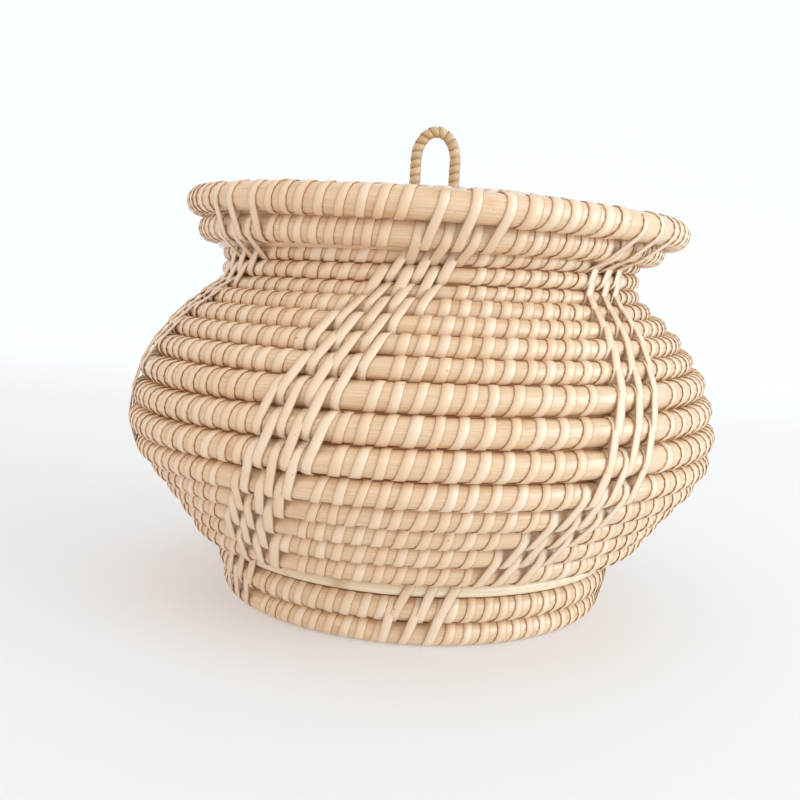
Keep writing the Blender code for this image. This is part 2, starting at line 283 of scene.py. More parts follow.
class BasketStage(PropertyGroup):
    """Strengths of the lights."""

    air_strength: valued("Air strength", "Strength of the light from all round", 0.95, 10.0)
    key_strength: valued("Key strength", "Power of the large light, in watts", 20.0, 1000.0)
    fill_strength: valued("Fill strength", "Power of the fill light, in watts", 1.5, 1000.0)


def smooth_step(share):
    """Rise from 0 to 1 with level ends as the share goes from 0 to 1."""
    share = np.clip(share, 0.0, 1.0)
    return share * share * (3 - 2 * share)


def on_right(turn, start, rise, end, fall):
    """Give 1 on the right side and 0 elsewhere, with a rise and a fall."""
    turn = turn % 1.0
    return smooth_step((turn - start) / rise) * smooth_step((end - turn) / fall)


def unit(vectors):
    """Scale each row of an array of vectors to length one."""
    return vectors / np.linalg.norm(vectors, axis=1, keepdims=True)


def travelled(points):
    """Give the length of a line of points up to each of them."""
    return np.concatenate(([0.0], np.cumsum(np.linalg.norm(np.diff(points, axis=0), axis=1))))


def blended(place, knots, rows):
    """Blend the rows of an array, which stand at knots, to other places."""
    return np.column_stack([np.interp(place, knots, axis) for axis in rows.T])


def next_row(place, below, above, lean):
    """Place a cane's centre (radius, height) on the row below it."""
    step = (below + above) / 2 + ROW_GAP
    return place[0] + step * np.cos(lean), place[1] + step * np.sin(lean)


def add_object(name, data):
    """Put a mesh, light or camera into the scene."""
    item = bpy.data.objects.new(name, data)
    bpy.context.collection.objects.link(item)
    return item


class Course:
    """A cane's centre line: points and thicknesses at counts of turns, with straight blends."""

    def __init__(self, turn, points, thickness, closed=False):
        """Keep the arrays and add up the length. A closed course is a ring with butted ends."""
        self.turn = turn
        self.points = points
        self.thickness = thickness
        self.length = travelled(points)
        self.closed = closed

    @classmethod
    def laid(cls, turn, reach_x, reach_y, height, thickness):
        """Lay a line round the axis: x and y are minus the turn's cosine and sine, times reach."""
        angle = 2 * math.pi * turn
        points = np.column_stack((-reach_x * np.cos(angle), -reach_y * np.sin(angle),
                                  height + 0 * angle))
        return cls(turn, points, thickness + 0 * angle)

    def at(self, turn):
        """Give centres, thicknesses, outward and upward directions at counts of turns."""
        along = unit(blended(turn, self.turn, np.gradient(self.points, self.turn, axis=0)))
        outward = unit(np.cross(along, (0.0, 0.0, 1.0)))
        return (blended(turn, self.turn, self.points),
                np.interp(turn, self.turn, self.thickness), outward, np.cross(outward, along))

    def round_trip(self, turn):
        """Give the length of a circle about the axis through a place on the line."""
        x, y, _ = self.at(np.array([turn]))[0][0]
        return 2 * math.pi * math.hypot(x, y)

    def restarted(self):
        """Count the same ring from where its binding starts, so that this crosses the joint."""
        late = self.turn >= BINDING_START
        return Course(*(np.concatenate((row[late], row[~late] + added)) for row, added in (
            (self.turn, 1.0), (self.points, 0.0), (self.thickness, 0.0))))

    def part(self, first, last):
        """Cut the stretch between two counts of turns, with half an end gap at each cut."""
        per_turn = np.interp((first + last) / 2, self.turn[1:],
                             np.diff(self.length) / np.diff(self.turn))
        trim = END_GAP / 2 / per_turn
        first = self.turn[0] if first <= self.turn[0] else first + trim
        last = self.turn[-1] if last >= self.turn[-1] else last - trim
        inner = self.turn[(self.turn > first) & (self.turn < last)]
        turn = np.concatenate(([first], inner, [last]))
        return Course(turn, *self.at(turn)[:2])


class Weave:
    """Gathers profiles carried along paths into the mesh of one piece."""

    def __init__(self, seed):
        """Start empty, with a seeded source of chance."""
        self.random = np.random.default_rng(seed)
        self.peel = bpy.context.scene.basket_peel
        self.count = 0
        self.vertices, self.faces, self.places = [], [], []
        self.tones, self.borders, self.kinds, self.smooth = [], [], [], []

    def chance(self, spread, limit, count):
        """Draw numbers about 0, none beyond the limit."""
        return self.random.normal(0.0, spread, count).clip(-limit, limit)

    def carry(self, centre, first, second, profile, size, tone, kinds=None):
        """Carry a closed profile along a path and close both ends.

        A vertex is the centre, plus first times the profile's x and second times its y, both
        scaled by the size at that place. First, second and the way along are right-handed.
        """
        steps, sides = len(centre), len(profile)
        reach = profile * size[:, None, :]
        body = centre[:, None] + first[:, None] * reach[..., :1] + second[:, None] * reach[..., 1:]
        along = travelled(centre)
        edges = np.linalg.norm(np.roll(profile, -1, axis=0) - profile, axis=1) * size.mean()
        across = np.concatenate(([0.0], np.cumsum(edges)))
        step, side = (part.reshape(-1, 1) for part in np.indices((steps - 1, sides)))
        ahead, beside = step + (0, 0, 1, 1), side + (0, 1, 1, 0)
        near, far = self.count, self.count + (steps - 1) * sides
        kinds = np.zeros(sides, int) if kinds is None else kinds
        faces = np.tile(kinds, steps - 1)
        self.vertices.append(body.reshape(-1, 3))
        self.faces += (self.count + ahead * sides + beside % sides).tolist()
        self.faces += [list(range(near, near + sides))[::-1], list(range(far, far + sides))]
        self.places += [np.stack((across[beside], along[ahead]), axis=-1).reshape(-1, 2),
                        np.zeros((2 * sides, 2)) + (0.0, along[-1] / 2)]
        self.kinds += [faces, kinds[[0, 0]]]
        self.smooth += [faces == 0, np.zeros(2, bool)]
        self.tones.append(np.repeat(np.broadcast_to(tone, (steps,)), sides))
        # How far across the strip each point lies, which places the line of painted shade along
        # its sides.
        self.borders.append(np.tile(2 * np.abs(profile[:, 0]), steps))
        self.count += steps * sides

    def strip(self, centre, outward, width, tone):
        """Lay a flat strip of peel: its width stands square to its way and to its outer face."""
        along = np.gradient(centre, axis=0)
        across = unit(np.cross(outward, along))
        outward = unit(np.cross(along, across))
        size = np.column_stack((np.broadcast_to(width, len(centre)),
                                np.full(len(centre), self.peel.thickness)))
        self.carry(centre, across, outward, STRIP_PROFILE, size, tone, STRIP_KINDS)

    def settled(self):
        """Give all vertices. What would sink into the floor is pressed flatter to stand on it."""
        points = np.concatenate(self.vertices)
        level = bpy.context.scene.basket_canes.foot_lower / 2 * SECTION_FLAT
        low = min(points[:, 2].min(), 0.0)
        sunk = level - (level - points[:, 2]) * level / (level - low)
        points[:, 2] = np.where(points[:, 2] < level, sunk, points[:, 2])
        return points

    def make(self, name, materials, body, slot, *nodes):
        """Make the piece, ride it on its body and let it stand for its CAD nodes."""
        mesh = bpy.data.meshes.new(name)
        mesh.from_pydata(self.settled().tolist(), [], self.faces)
        mesh.uv_layers.new(name="along").data.foreach_set(
            "uv", np.concatenate(self.places).ravel())
        for layer, values in (("tone", self.tones), ("shaded_border", self.borders)):
            mesh.attributes.new(layer, "FLOAT", "POINT").data.foreach_set(
                "value", np.concatenate(values))
        mesh.polygons.foreach_set("material_index", np.concatenate(self.kinds).astype(np.int32))
        mesh.polygons.foreach_set("use_smooth", np.concatenate(self.smooth))
        for material in materials:
            mesh.materials.append(material)
        mesh.update()
        piece = add_object(name, mesh)
        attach(piece, body)
        if nodes:
            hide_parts(*nodes)

    def make_peel(self, name, body, *nodes):
        """Make a piece of peel: its outer face and its cut edges, whose brown is partly painted
        contact shade.
        """
        finish = finishes()
        self.make(name, (finish["peel"], finish["edge"]), body, "peel", *nodes)


def round_profile(sides):
    """Give the corners of a round profile of radius one, starting on its inner side."""
    angle = np.arange(sides) * 2 * math.pi / sides - math.pi / 2
    return np.column_stack((np.cos(angle), np.sin(angle)))


STRIP_PROFILE = np.array(((-0.5, -0.5), (0.5, -0.5), (0.5, 0.15), (0.0, 0.5), (-0.5, 0.15)))
# Kind 1 marks a strip's side walls, in the cut-edge finish: their own darker brown and painted
# contact shade.
STRIP_KINDS = np.array((0, 1, 0, 0, 1))


def bind(weave, course, pitch, skipped=(), breadth=1.0, spread=0.10):
    """Wind one strip round a cane as a helix, leaving out the stretches that stitches hold.

    Pitch and breadth are single values, or one for each of the course's points. A wrap starts
    on the inner side, goes under the cane, where it moves on fastest, up the outside and back.
    """
    fine, peel = course.turn, weave.peel
    spacing = np.broadcast_to(pitch, len(fine))
    grown = np.diff(course.length) / ((spacing[1:] + spacing[:-1]) / 2)
    number = np.concatenate(([0.0], np.cumsum(grown)))
    wraps = int(number[-1]) + 2
    shift = weave.chance(spread, 2 * spread, wraps)
    shift[[0, -2, -1]] = 0.0
    widths = peel.width * (1 + weave.chance(*WIDTH_CHANCE, wraps))
    tones = weave.random.random(wraps)
    edges = [fine[0], *(edge for stretch in skipped for edge in stretch), fine[-1]]
    for start, stop in zip(edges[::2], edges[1::2]):
        low = math.ceil(np.interp(start, fine, number) + END_MARGIN)
        high = math.floor(np.interp(stop, fine, number) - END_MARGIN)
        if high <= low:
            continue
        count = np.linspace(low, high, (high - low) * WRAP_STEPS + 1)
        moved = count + np.interp(count, np.arange(wraps), shift)
        moved -= LOW_HASTE * np.sin(2 * math.pi * (count + LOW_PHASE)) / (2 * math.pi)
        centre, thickness, outward, upward = course.at(np.interp(moved, number, fine))
        angle = (math.pi * (2 * count - 1))[:, None]
        facing = outward * np.cos(angle) + upward * np.sin(angle)
        radius = thickness / 2 - peel.sunk + peel.thickness / 2
        width = np.interp(count, np.arange(wraps) + 0.5, widths)
        width = width * np.interp(count, number, np.broadcast_to(breadth, len(fine)))
        tone = tones[np.minimum(count.astype(int), wraps - 1)]
        weave.strip(centre + facing * radius[:, None], facing, width, tone)


def belt_steps():
    """Give, over one round of a long stitch, its section angle and its share of the upper row.

    It starts at the top of the upper row, comes down outside both rows and goes back inside.
    """
    arc = np.linspace(0.0, 1.0, BELT_ARC_STEPS + 1)
    line = np.linspace(0.0, 1.0, BELT_LINE_STEPS + 1)[1:-1]
    corner = np.concatenate((arc - 1, 0 * line, arc, 1 + arc[1:], 2 + 0 * line, 2 + arc))
    upper = np.concatenate((1 + 0 * arc, 1 - line, 0 * arc, 0 * arc[1:], line, 1 + 0 * arc))
    return -math.pi / 2 * corner[:-1], upper[:-1]


def two_rows(upper, lower, turn, offset):
    """Give two rows' centres and thicknesses, the way from row to row and the way outwards."""
    top, top_size, outward, upward = upper.at(turn)
    bottom, bottom_size, _, _ = lower.at(turn - offset)
    rise = unit(top - bottom)
    face = unit(np.cross(np.cross(upward, outward), rise))
    return top, bottom, top_size[:, None], bottom_size[:, None], rise, face


def stitch(weave, upper, lower, turn, offset, count=STITCHES_IN_COLUMN, wider=1.0):
    """Sew one group of long stitches round two rows.

    Each stitch slants as it comes down outside both rows, by the peel's slant each way, and
    goes back on the inside to the start of the next one.
    """
    peel = weave.peel
    angle, share = (np.tile(part, count) for part in belt_steps())
    number = np.repeat(np.arange(count), len(angle) // count)
    round_trip = upper.round_trip(turn)
    spacing = peel.stitch_pitch * wider / round_trip
    aside = weave.chance(*ASIDE_CHANCE, count)[number]
    lean = 1 + weave.chance(*LEAN_CHANCE, count)[number]
    down = np.clip((1 - share) * 0.5 + 0.25 * (1 - np.sin(angle)), 0.0, 1.0)
    slant = peel.stitch_slant * lean / round_trip * (1 - 2 * down)
    inner = (angle < -math.pi / 2) * spacing * (1 - down)
    place = turn + (number - (count - 1) / 2 + aside) * spacing + slant + inner
    top, bottom, top_size, bottom_size, rise, face = two_rows(upper, lower, place, offset)
    facing = face * np.cos(angle)[:, None] + rise * np.sin(angle)[:, None]
    share = share[:, None]
    centre = top * share + bottom * (1 - share)
    size = top_size * share + bottom_size * (1 - share)
    lift = STITCH_LIFT + STITCH_LIFT_MORE * down[:, None]
    radius = size / 2 - peel.sunk + peel.thickness * lift
    tone = STITCH_TONES[0] + STITCH_TONES[1] * weave.random.random(count)[number]
    width = peel.width * (1 + weave.random.normal(0.0, ASIDE_CHANCE[0], count)[number])
    weave.strip(centre + facing * radius, facing, width, tone)


def stitches_piece(name, body, seed, groups):
    """Sew groups of stitches as one piece. A group is what stitch takes: rows, turn and so on."""
    weave = Weave(seed)
    for group in groups:
        stitch(weave, *group)
    weave.make_peel(name, body)


def ring_turns():
    """Give the places of a ring's points: one turn from the back."""
    return np.arange(FINE_STEPS + 1) / FINE_STEPS + RING_END


def ring_turn(turn, start=RING_END):
    """Bring a place on a ring into the ring's own count, which runs for one turn from a start."""
    return start + (turn - start) % 1.0


def ring(radius, height, diameter):
    """Bend one cane to a ring whose ends meet at the back.

    Radius and height are single values, or one for each of the ring's points.
    """
    turn = ring_turns()
    course = Course.laid(turn, radius, radius, height, diameter)
    cut = END_GAP / 2 / course.length[-1]
    turn = np.concatenate(([turn[0] + cut], turn[1:-1], [turn[-1] - cut]))
    return Course(turn, course.at(turn)[0], course.thickness, True)


class Shape:
    """The places of all rows, worked out from the canes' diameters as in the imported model."""

    def __init__(self, canes):
        """Stack the foot, wind the basket's coil, set the mouth's rings and wind the lid."""
        self.canes = canes
        lower = (FOOT_RADIUS, canes.foot_lower / 2 * SECTION_FLAT)
        upper = next_row(lower, canes.foot_lower, canes.foot_upper, FOOT_LEAN)
        spacer = next_row(upper, canes.foot_upper, canes.spacer, SPACER_LEAN)
        self.foot_lower = ring(*lower, canes.foot_lower)
        self.foot_upper = ring(*upper, canes.foot_upper)
        self.spacer = ring(*spacer, canes.spacer)
        base_height = spacer[1] + canes.spacer / 2 + ROW_GAP + canes.lower_wall / 2 * SECTION_FLAT
        self.mouth(self.basket_coil(spacer[0] + BASE_OVERHANG, base_height))
        self.lid_courses()

    def basket_coil(self, base_radius, base_height):
        """Wind the base and the wall, and give the radius, height and size at every step.

        In the base the radius grows evenly with the turns. On the wall, each point lies one
        cane and the row gap from the point one turn before it, in the direction of the lean.
        """
        canes = self.canes
        sizes = (canes.lower_wall, canes.belly, canes.shoulder, canes.neck)
        pitch = canes.lower_wall + ROW_GAP
        base_steps = int((base_radius - BASE_START_RADIUS) / pitch * ROW_STEPS)
        wall_turns = sum(WALL_TURNS)
        turn = np.arange(-base_steps, round(wall_turns * ROW_STEPS) + 1) / ROW_STEPS
        size = np.full(len(turn), canes.lower_wall)
        for cane, following, splice in zip(sizes, sizes[1:], np.cumsum(WALL_TURNS)):
            size += (following - cane) * smooth_step((turn - splice) / SPLICE_TURN + 0.5)
        paring = np.clip((turn - wall_turns + PARED_TURN) / PARED_TURN, 0.0, 1.0)
        size *= 1 - (1 - PARED_THICKNESS) * paring
        lean = np.radians(np.interp(turn / wall_turns, WALL_SHARES, WALL_LEANS))
        radius = base_radius + turn * pitch
        height = np.full(len(turn), base_height)
        for step in range(base_steps + 1, len(turn)):
            below = step - ROW_STEPS
            radius[step], height[step] = next_row((radius[below], height[below]), size[below],
                                                  size[step], lean[step])
        rows = (radius, height, size)
        fine = np.linspace(turn[0], turn[-1], round((turn[-1] - turn[0]) * FINE_STEPS))
        reach, level, thickness = (np.interp(fine, turn, row) for row in rows)
        self.coil = Course.laid(fine, reach, reach, level, thickness)
        return rows

    def mouth(self, rows):
        """Rest the flare on the last turn of the coil, as low as it goes, and the rim on it."""
        canes = self.canes
        radius, height, size = (row[-ROW_STEPS - 1:] for row in rows)
        flare_radius = next_row((radius[1:].mean(), 0.0), canes.neck, canes.flare, FLARE_LEAN)[0]
        reach = (size + canes.flare) / 2 + ROW_GAP
        aside = np.clip(np.abs(flare_radius - radius), 0.0, reach)
        flare = (flare_radius, (height + np.sqrt(reach ** 2 - aside ** 2)).max())
        lean = RIM_LEAN + RIM_LEAN_SWING * np.cos(2 * math.pi * ring_turns())
        rim = next_row(flare, canes.flare, canes.rim, lean)
        self.flare = ring(*flare, canes.flare)
        self.rim = ring(*rim, canes.rim)
        self.edge_radius = rim[0].min() - canes.rim / 2 - LID_SIDE_GAP - canes.lid_edge / 2
        reach = (canes.flare + canes.lid_edge) / 2 + LID_SEAT_GAP
        self.seat = flare[1] + math.sqrt(reach ** 2 - (flare_radius - self.edge_radius) ** 2)
        self.crown = self.seat + LID_RISE

    def lid_drop(self, radius):
        """Give how far the lid's dome lies under its crown at a radius."""
        return LID_RISE * (radius / self.edge_radius) ** LID_DOME_POWER

    def inside_edge(self, diameter):
        """Find the radius at which a cane on the dome lies one row gap from the edge ring."""
        apart = (self.canes.lid_edge + diameter) / 2 + ROW_GAP
        radius = self.edge_radius - apart
        for _ in range(SEAT_ROUNDS):
            above = LID_RISE - self.lid_drop(radius)
            radius = self.edge_radius - np.sqrt(apart ** 2 - above ** 2)
        return radius

    def lid_courses(self):
        """Wind the lid's coil from an oval first turn to a round, pared last one."""
        canes = self.canes
        self.lid_edge = ring(self.edge_radius, self.seat, canes.lid_edge)
        pitch = canes.lid + ROW_GAP
        long_start = (LOOP_SPAN + canes.loop + canes.lid) / 2 + TIE_GAP
        short_start = (canes.heart + canes.lid) / 2 + TIE_GAP
        full_reach = self.inside_edge(canes.lid)
        full_turns = (full_reach - long_start) / pitch
        turn = np.arange(round((full_turns + 1) * ROW_STEPS)) / ROW_STEPS
        pared = np.maximum(turn - full_turns, 0.0) * pitch
        end = turn[canes.lid - pared > canes.lid * LID_PARED_THICKNESS][-1]
        turn = np.linspace(0.0, end, round(end * FINE_STEPS))
        thickness = canes.lid - np.maximum(turn - full_turns, 0.0) * pitch
        share = np.minimum(turn / full_turns, 1.0)
        growth = self.inside_edge(thickness) - full_reach
        reach_x, reach_y = (start + (full_reach - start) * share + growth
                            for start in (long_start, short_start))
        angle = 2 * math.pi * turn
        radius = np.hypot(reach_x * np.cos(angle), reach_y * np.sin(angle))
        level = self.crown - self.lid_drop(radius)
        self.lid = Course.laid(turn, reach_x, reach_y, level, thickness)

    def wall_row(self, row):
        """Give the course of a row counted from the rim, and the turns to add on it."""
        if row < TOP_COIL_ROW:
            return (self.rim, self.flare)[row - 1], 0.0
        return self.coil, float(LAST_COIL_ROW - row)


def given():
    """Work out the shape from the sizes in the scene, and give it with the peel's sizes."""
    scene = bpy.context.scene
    return Shape(scene.basket_canes), scene.basket_peel


def all_columns(made, peel):
    """Give where each column of stitches crosses the gap under each row, in turns.

    Under the top rows it keeps to its own line. Below them, each group of stitches starts half
    a spacing aside of where the group above ends, on the side nearer to the line, so that the
    stitches of the two groups alternate. In a straight column all groups keep to the line.
    """
    columns = []
    for column, knots in enumerate(COLUMN_TURNS):
        line = np.interp(np.arange(1, LAST_COIL_ROW) + 0.5, COLUMN_ROWS, knots)
        turns = list(line[:TOP_COIL_ROW])
        for row in range(TOP_COIL_ROW + 1, LAST_COIL_ROW):
            course, added = made.wall_row(row)
            round_trip = course.round_trip(line[row - 1] + added)
            slant, spacing = peel.stitch_slant / round_trip, peel.stitch_pitch / round_trip
            wanted = turns[-1] - slant - line[row - 1]
            turns.append(turns[-1] - slant - spacing * (round(wanted / spacing - 0.5) + 0.5))
        columns.append(list(line) if column in STRAIGHT_COLUMNS else turns)
    return columns


def fill(tree, node, inputs):
    """Join a node's inputs to other sockets, or give them plain colours or numbers."""
    for name, value in inputs.items():
        socket = node.inputs[name]
        if isinstance(value, bpy.types.NodeSocket):
            tree.links.new(value, socket)
        elif socket.type == "RGBA":
            socket.default_value = (*value, 1.0)
        else:
            socket.default_value = value


def new_node(tree, kind, inputs=None, **settings):
    """Add a node, set its options, fill its inputs and give its outputs."""
    made = tree.nodes.new(kind)
    for name, value in settings.items():
        setattr(made, name, value)
    fill(tree, made, inputs or {})
    return made.outputs


def attribute(tree, name):
    """Read one of a mesh's own values."""
    return new_node(tree, "ShaderNodeAttribute", attribute_name=name)["Fac"]


def noise(tree, vector, scale, detail=2.0):
    """Make noise in space."""
    return new_node(tree, "ShaderNodeTexNoise",
                    {"Vector": vector, "Scale": scale, "Detail": detail})["Fac"]


def times(tree, first, second):
    """Multiply two values, each a socket or a number."""
    return new_node(tree, "ShaderNodeMath", {0: first, 1: second}, operation="MULTIPLY")[0]


def ranged(tree, source, low, high):
    """Stretch a value between two marks to 0 and 1."""
    return new_node(tree, "ShaderNodeMapRange",
                    {"Value": source, "From Min": low, "From Max": high}, clamp=True)["Result"]


def mixed(tree, factor, first, second):
    """Mix two colours, each a socket or a plain colour, by a factor socket."""
    return new_node(tree, "ShaderNodeMix", {"Factor": factor, 6: first, 7: second},
                    data_type="RGBA", blend_type="MIX")[2]


def fibre_group():
    """Make the group for fibres: noise drawn out along the cane, as three masks.

    Streaks is a fine, long grain. Patches is broad and soft. Specks is a few small dots.
    """
    found = bpy.data.node_groups.get("Fibres")
    if found:
        return found
    tree = bpy.data.node_groups.new("Fibres", "ShaderNodeTree")
    for way, names in (("INPUT", ("Across", "Along")),
                       ("OUTPUT", ("Streaks", "Patches", "Specks"))):
        for name in names:
            tree.interface.new_socket(name=name, in_out=way, socket_type="NodeSocketFloat")
    scales = new_node(tree, "NodeGroupInput")
    solid = new_node(tree, "ShaderNodeTexCoord")["Object"]
    place = new_node(tree, "ShaderNodeUVMap", uv_map="along")["UV"]
    parts = new_node(tree, "ShaderNodeSeparateXYZ", {0: place})
    stretched = new_node(tree, "ShaderNodeCombineXYZ", {
        "X": times(tree, parts["X"], scales["Across"]),
        "Y": times(tree, parts["Y"], scales["Along"]),
        "Z": attribute(tree, "tone")})[0]
    new_node(tree, "NodeGroupOutput", {"Streaks": noise(tree, stretched, 1.0, 3.0),
                                       "Patches": noise(tree, solid, PATCH_SCALE, 3.0),
                                       "Specks": noise(tree, solid, SPECK_SCALE)})
    return tree


def fibre_finish(name, base, deep, pale, roughness, coat, streak, bump, across=2500.0, along=60.0,
                 shaded_border=None):
    """Make a finish of plant fibre.

    The base colour turns to the pale one by the piece's own tone, to the deep one in broad
    patches, and is darkened by fine streaks. The streaks also make a shallow relief. The shaded
    border colour paints shade as a thin dark line along both sides of a strip.
    """
    found = bpy.data.materials.get(name)
    if found:
        return found
    material = bpy.data.materials.new(name)
    material.use_nodes = True
    tree = material.node_tree
    fibres = new_node(tree, "ShaderNodeGroup", {"Across": across, "Along": along},
                      node_tree=fibre_group())
    colour = mixed(tree, ranged(tree, attribute(tree, "tone"), *PALE_MARKS), base, pale)
    colour = mixed(tree, ranged(tree, fibres["Patches"], *PATCH_MARKS), colour, deep)
    fine = times(tree, ranged(tree, fibres["Streaks"], *STREAK_MARKS), streak)
    colour = mixed(tree, fine, colour, deep)
    dots = times(tree, ranged(tree, fibres["Specks"], *SPECK_MARKS), SPECK_STRENGTH)
    colour = mixed(tree, dots, colour, bpy.context.scene.basket_colours.speck)
    # Painted shade: a thin dark line along both sides of a strip's outer face, in the cut edges'
    # colour.
    if shaded_border is not None:
        line = ranged(tree, attribute(tree, "shaded_border"), *SHADED_BORDER_MARKS)
        line = times(tree, line, SHADED_BORDER_STRENGTH)
        colour = mixed(tree, line, colour, shaded_border)
    relief = new_node(tree, "ShaderNodeBump", {"Strength": bump, "Distance": RELIEF_DEPTH,
                                               "Height": fibres["Streaks"]})["Normal"]
    fill(tree, tree.nodes["Principled BSDF"], {
        "Base Color": colour, "Normal": relief, "Roughness": roughness,
        "Specular IOR Level": SHINE if coat else DULL_SHINE, "Coat Weight": coat,
        "Coat Roughness": COAT_ROUGHNESS})
    return material


def finishes():
    """Make all finishes of the basket from the colours in the scene."""
    tint = bpy.context.scene.basket_colours
    rows = (
        ("cane", tint.cane, tint.deep, tint.peel, 0.36, 0.80, 0.45, 0.35),
        ("bare", tint.bare, tint.deep, tint.peel, 0.30, 0.3, 0.25, 0.2),
        # The peel's last value is the colour of its painted shade line along both sides of a
        # strip.
        ("peel", tint.peel, tint.cane, tint.pale, 0.40, 0.35, 0.30, 0.25, 3200.0, 90.0, tint.edge),
        # Cut edges: their own darker brown, and painted contact shade.
        ("edge", tint.edge, tint.edge, tint.cane, 0.70, 0.0, 0.30, 0.2),
        # Packing: painted shade, a very dark fill for the gaps between rows.
        ("packing", tint.packing, tint.deep, tint.edge, 0.8, 0.0, 0.4, 0.3),
        ("loop", tint.loop, tint.deep, tint.cane, 0.45, 0.1, 0.4, 0.4),
    )
    return {name: fibre_finish(f"{name}_finish", *row) for name, *row in rows}


def packing_piece(name, body, *gaps, finish="packing"):
    """Lay slim bundles along the middle of gaps between two rows. In the packing finish they are
    painted shade: a dark fill where the gaps lie in shade.

    A gap is its upper row, lower row, first turn, last turn and offset. A bundle's radius is
    half the gap and a little more.
    """
    weave = Weave(5)
    for upper, lower, first, last, offset in gaps:
        turn = np.linspace(first, last, max(int((last - first) * PACKING_STEPS), 2) + 1)
        top, bottom, top_size, bottom_size, rise, face = two_rows(upper, lower, turn, offset)
        gap = np.linalg.norm(top - bottom, axis=1)[:, None] - (top_size + bottom_size) / 2
        middle = bottom + rise * ((bottom_size + gap) / 2)
        radius = (gap / 2 + PACKING_MORE) * np.ones((1, 2))
        weave.carry(middle, rise, face, round_profile(PACKING_SIDES), radius, 0.3)
    weave.make(name, (finishes()[finish],), body, "bound_cane")


def gaps_on_ring(round_it, coil):
    """Give both gaps between a ring and a coil's last turn: before and after the coil's end."""
    first, last = round_it.turn[0], round_it.turn[-1]
    whole = math.floor(coil.turn[-1] - first)
    end = coil.turn[-1] - whole
    return (round_it, coil, first, end, -whole), (round_it, coil, end, last, 1 - whole)


def cane_piece(name, course, seed, body, finish="cane", slot="bound_cane"):
    """Make the round core of one cane, a little thinner than the cane, for its CAD node."""
    weave = Weave(seed)
    centre, thickness, outward, upward = course.at(course.turn)
    steps = len(centre)
    radius = (thickness / 2 - weave.peel.sunk)[:, None] * np.ones((1, 2))
    tone = weave.random.random(steps // TONE_STEPS + 2)
    tone = np.interp(np.arange(steps) / TONE_STEPS, np.arange(len(tone)), tone)
    weave.carry(centre, upward, outward, round_profile(CORE_SIDES), radius, tone)
    weave.make(name + "_core", (finishes()[finish],), body, slot, name)


def bound_cane(name, course, seeds, body, pitch, skipped=(), breadth=1.0):
    """Make the core and the binding of one cane.

    A ring's binding crosses its butt joint, and a few tight wraps cover the joint.
    """
    cane_piece(name, course, seeds[0], body)
    weave, bound = Weave(seeds[1]), course
    if course.closed:
        bound, joint = course.restarted(), course.turn[-1]
        wider = np.interp(joint, bound.turn, np.broadcast_to(breadth, len(bound.turn)))
        reach = weave.peel.width * wider / bound.length[-1]
        free, cover = JOINT_LEFT_FREE * reach, JOINT_COVER * reach
        skipped = [*skipped, (joint - free, joint + free)]
    bind(weave, bound, pitch, merged(skipped, bound.turn[0], bound.turn[-1]), breadth)
    if course.closed:
        bind(weave, bound.part(joint - cover, joint + cover),
             JOINT_PITCH * weave.peel.width * wider, (), wider, 0.0)
    weave.make_peel(name + "_binding", body)


def held(course, middle, wider=1.0, count=STITCHES_IN_COLUMN):
    """Give the stretch of a cane that a column of stitches covers, about its middle turn."""
    peel = bpy.context.scene.basket_peel
    half = max(peel.stitch_pitch * (count - 1) / 2 * wider - HELD_LESS, HELD_LEAST)
    share = half / course.round_trip(middle)
    return middle - share, middle + share


def held_on_ring(course, turns, wider=1.0):
    """List the stretches of a ring that stitches hold, in the count of its binding."""
    bound = course.restarted()
    return [held(bound, ring_turn(turn, BINDING_START), wider) for turn in turns]


def held_on_row(made, columns, row):
    """List the stretches of a wall row that columns of stitches hold."""
    course, added = made.wall_row(row)
    middles = []
    for turns in columns:
        near = turns[max(row - 2, 0):row]
        middles += [near[0], near[-1]]
    wider = WIDER_STITCHES.get(row, 1.0)
    if row < TOP_COIL_ROW:
        return held_on_ring(course, middles, wider)
    return [held(course, middle + added, wider) for middle in middles]


def rays(course, first, last):
    """List the places of the columns that run outwards over a flat coil, and their stitches.

    Every column stands at the same share of each turn, and has more stitches further out.
    """
    tight = 2 * math.pi * TIGHT_RADIUS
    return [(turn, int(np.clip(course.round_trip(turn) / tight, 1, STITCHES_IN_COLUMN)))
            for column in range(FLAT_COLUMNS)
            for turn in np.arange(first + column / FLAT_COLUMNS, last, 1.0)]


def held_on_rays(course, places, further):
    """List the stretches of a flat coil that its rays hold, on both turns that each one joins."""
    return [held(course, turn + added, FLAT_CLOSER, count) for turn, count in places
            for added in (0.0, further)
            if not added or course.turn[0] < turn + added < course.turn[-1]]


def merged(stretches, first, last):
    """Join stretches that overlap, and keep them between two ends."""
    joined = []
    for start, stop in sorted((max(a, first), min(b, last)) for a, b in stretches):
        if joined and start <= joined[-1][1]:
            joined[-1] = (joined[-1][0], max(stop, joined[-1][1]))
        elif stop > start:
            joined.append((start, stop))
    return joined


